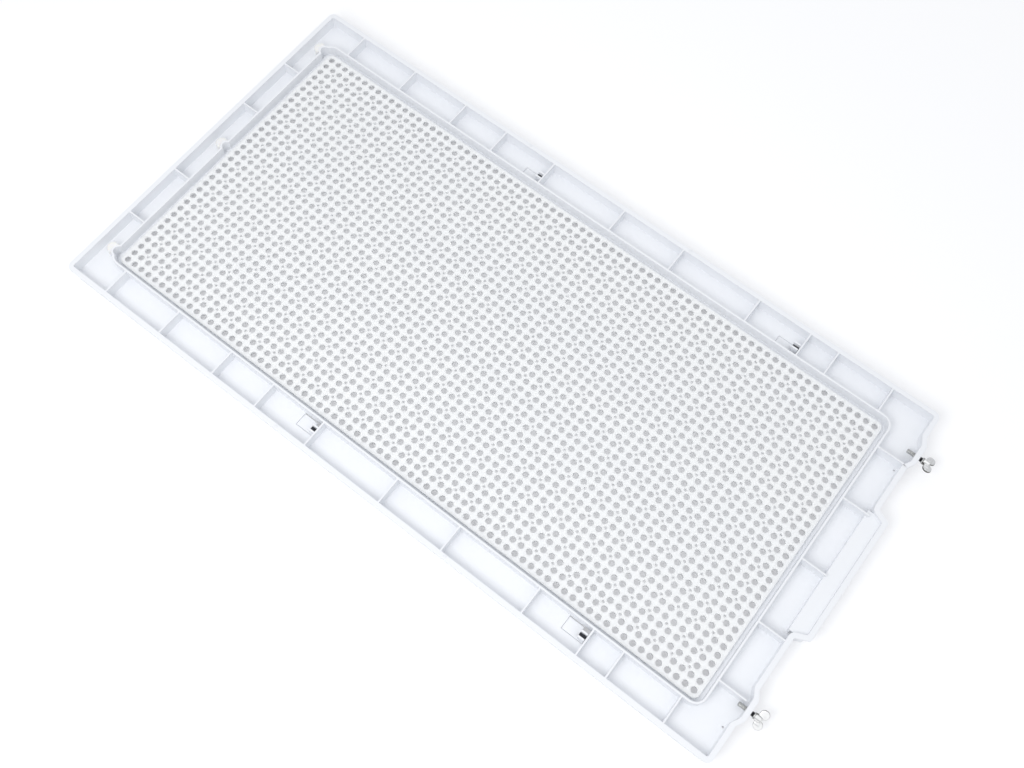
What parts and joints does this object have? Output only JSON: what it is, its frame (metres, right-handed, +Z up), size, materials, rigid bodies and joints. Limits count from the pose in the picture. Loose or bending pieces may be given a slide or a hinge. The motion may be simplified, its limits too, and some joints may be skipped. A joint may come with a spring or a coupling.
{
  "type": "queen excluder tray",
  "caption": "Shallow moulded hive tray with a lift-out sheet of round holes, ribbed rim channel, grip at one end and wing screws through the end wall.",
  "frame": {"origin": "on the plane the frame rests on, below the middle of the overall length and width", "axes": "+X along the long side towards the handle and the wing screws, +Y across, +Z up"},
  "size_m": [0.671, 0.3418, 0.0224],
  "materials": {
    "frame_plastic": "satin moulded",
    "grid_plastic": "satin moulded",
    "stop_rubber": "dark moulded rubber",
    "button_plastic": "waxy nylon",
    "insert_metal": "turned, nickel plated",
    "washer_metal": "stamped",
    "stud_metal": "rolled thread",
    "wing_metal": "nickel plated casting"
  },
  "bodies": {
    "frame": {"frame": "frame_plastic", "end_button_near": "button_plastic", "end_button_middle": "button_plastic", "end_button_far": "button_plastic", "insert_near": "insert_metal", "insert_far": "insert_metal"},
    "grid": {"grid": "grid_plastic"},
    "tongue_near_left": {"tongue_near_left": "frame_plastic", "stop_near_left": "stop_rubber"},
    "tongue_near_right": {"tongue_near_right": "frame_plastic", "stop_near_right": "stop_rubber"},
    "tongue_far_left": {"tongue_far_left": "frame_plastic", "stop_far_left": "stop_rubber"},
    "tongue_far_right": {"tongue_far_right": "frame_plastic", "stop_far_right": "stop_rubber"},
    "washer_near": {"washer_near": "washer_metal"},
    "screw_near": {"stud_near": "stud_metal", "wing_near": "wing_metal"},
    "washer_far": {"washer_far": "washer_metal"},
    "screw_far": {"stud_far": "stud_metal", "wing_far": "wing_metal"}
  },
  "joints": [
    {"name": "grid_lift", "type": "slide", "parent": "frame", "child": "grid", "axis": [0, 0, 1], "range_m": [0, 0.03]},
    {"name": "tongue_near_left_flex", "type": "hinge", "parent": "frame", "child": "tongue_near_left", "pos_m": [-0.09305, -0.1494, 0.009], "axis": [0, 1, 0], "range_deg": [-4, 1.5], "stiffness_Nm_per_rad": 0.3},
    {"name": "tongue_near_right_flex", "type": "hinge", "parent": "frame", "child": "tongue_near_right", "pos_m": [0.17495, -0.1494, 0.009], "axis": [0, 1, 0], "range_deg": [-4, 1.5], "stiffness_Nm_per_rad": 0.3},
    {"name": "tongue_far_left_flex", "type": "hinge", "parent": "frame", "child": "tongue_far_left", "pos_m": [-0.09305, 0.1494, 0.009], "axis": [0, 1, 0], "range_deg": [-4, 1.5], "stiffness_Nm_per_rad": 0.3},
    {"name": "tongue_far_right_flex", "type": "hinge", "parent": "frame", "child": "tongue_far_right", "pos_m": [0.17495, 0.1494, 0.009], "axis": [0, 1, 0], "range_deg": [-4, 1.5], "stiffness_Nm_per_rad": 0.3},
    {"name": "screw_travel_near", "type": "slide", "parent": "frame", "child": "washer_near", "axis": [1, 0, 0], "range_m": [-0.0021, 0.0021]},
    {"name": "screw_turn_near", "type": "hinge", "parent": "washer_near", "child": "screw_near", "pos_m": [0.3185, -0.12, 0.016], "axis": [1, 0, 0], "range_deg": [-1100, 1100]},
    {"name": "screw_travel_far", "type": "slide", "parent": "frame", "child": "washer_far", "axis": [1, 0, 0], "range_m": [-0.0021, 0.0021]},
    {"name": "screw_turn_far", "type": "hinge", "parent": "washer_far", "child": "screw_far", "pos_m": [0.3185, 0.13, 0.016], "axis": [1, 0, 0], "range_deg": [-1100, 1100]}
  ],
  "couplings": [
    {"joint": "screw_turn_near", "follows": "screw_travel_near", "rad_per_m": 8976},
    {"joint": "screw_turn_far", "follows": "screw_travel_far", "rad_per_m": 8976}
  ]
}
